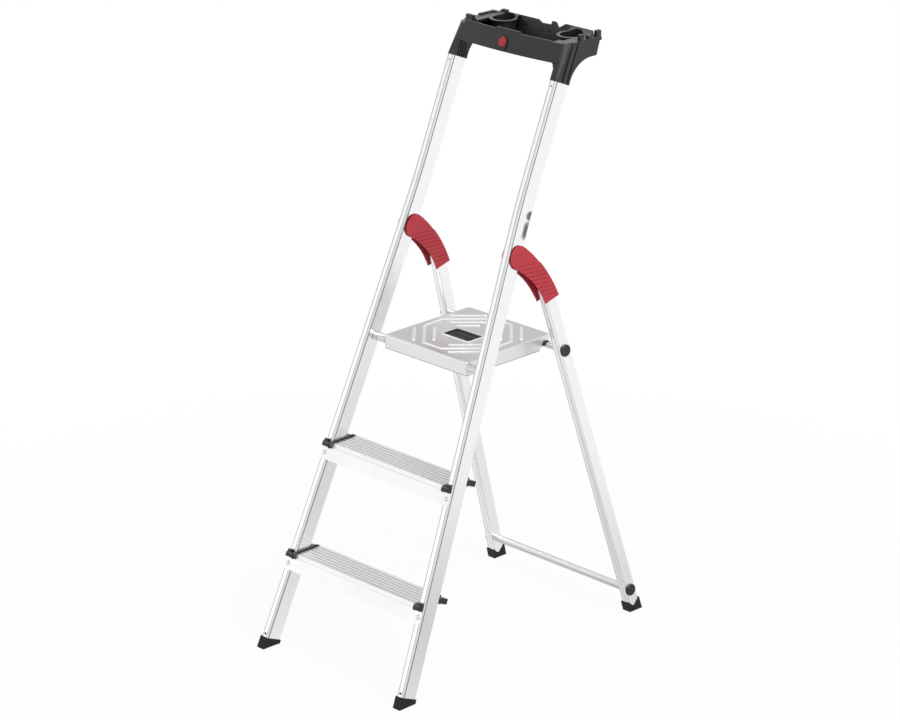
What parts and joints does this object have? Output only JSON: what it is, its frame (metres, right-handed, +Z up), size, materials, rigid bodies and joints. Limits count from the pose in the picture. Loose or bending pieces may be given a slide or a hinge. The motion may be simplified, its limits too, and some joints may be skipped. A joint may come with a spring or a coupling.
{
  "type": "folding platform step ladder",
  "caption": "Folding aluminium platform step-ladder with grooved treads, splayed rear legs on hinge covers and a hand rail that ends in a tool tray.",
  "frame": {"origin": "on the floor, in the middle of the stance: halfway between the toes of the front feet and the heels of the rear feet", "axes": "+X across the ladder to the right of a person who faces the treads, +Y from the climber's side to the rear legs, +Z up"},
  "size_m": [0.438, 0.7148, 1.2785],
  "materials": {
    "aluminium": "bright brushed aluminium",
    "steel": "zinc-plated steel",
    "black_plastic": "fine-grained black plastic",
    "red_plastic": "satin red plastic",
    "rubber": "hard black rubber-like plastic"
  },
  "bodies": {
    "front_frame": {"stile_left": "aluminium", "stile_right": "aluminium", "step_lower": "aluminium", "step_upper": "aluminium", "step_rivets": "steel", "step_cap_lower_left": "black_plastic", "step_cap_lower_right": "black_plastic", "step_cap_upper_left": "black_plastic", "step_cap_upper_right": "black_plastic", "front_foot_left": "rubber", "front_foot_right": "rubber", "front_axle": "steel", "hinge_pin_left": "steel", "hinge_pin_right": "steel", "hinge_washers": "black_plastic", "tray": "black_plastic", "tray_pins": "steel", "tray_badge": "red_plastic"},
    "rear_frame": {"leg_left": "aluminium", "leg_right": "aluminium", "hinge_arm_left_outer": "steel", "hinge_arm_left_inner": "steel", "hinge_arm_right_outer": "steel", "hinge_arm_right_inner": "steel", "hinge_cover_left": "red_plastic", "hinge_cover_right": "red_plastic", "hinge_shims": "black_plastic", "hinge_rivets": "steel", "rear_tube": "steel", "rear_tube_caps": "black_plastic", "lower_crossbar": "aluminium", "crossbar_caps": "black_plastic", "rear_foot_left": "rubber", "rear_foot_right": "rubber"},
    "platform": {"platform_pan": "aluminium", "platform_insert": "black_plastic", "platform_clip_left": "black_plastic", "platform_clip_right": "black_plastic", "platform_bush_left": "steel", "platform_bush_right": "steel"}
  },
  "joints": [
    {"name": "rear_leg_fold", "type": "hinge", "parent": "front_frame", "child": "rear_frame", "pos_m": [0, 0.03812, 0.851], "axis": [1, 0, 0], "range_deg": [-39, 0]},
    {"name": "platform_fold", "type": "hinge", "parent": "front_frame", "child": "platform", "pos_m": [0, -0.05953, 0.632], "axis": [1, 0, 0], "range_deg": [0, 66.9]}
  ],
  "couplings": [
    {"joint": "platform_fold", "follows": "rear_leg_fold", "ratio": -1.7154}
  ]
}
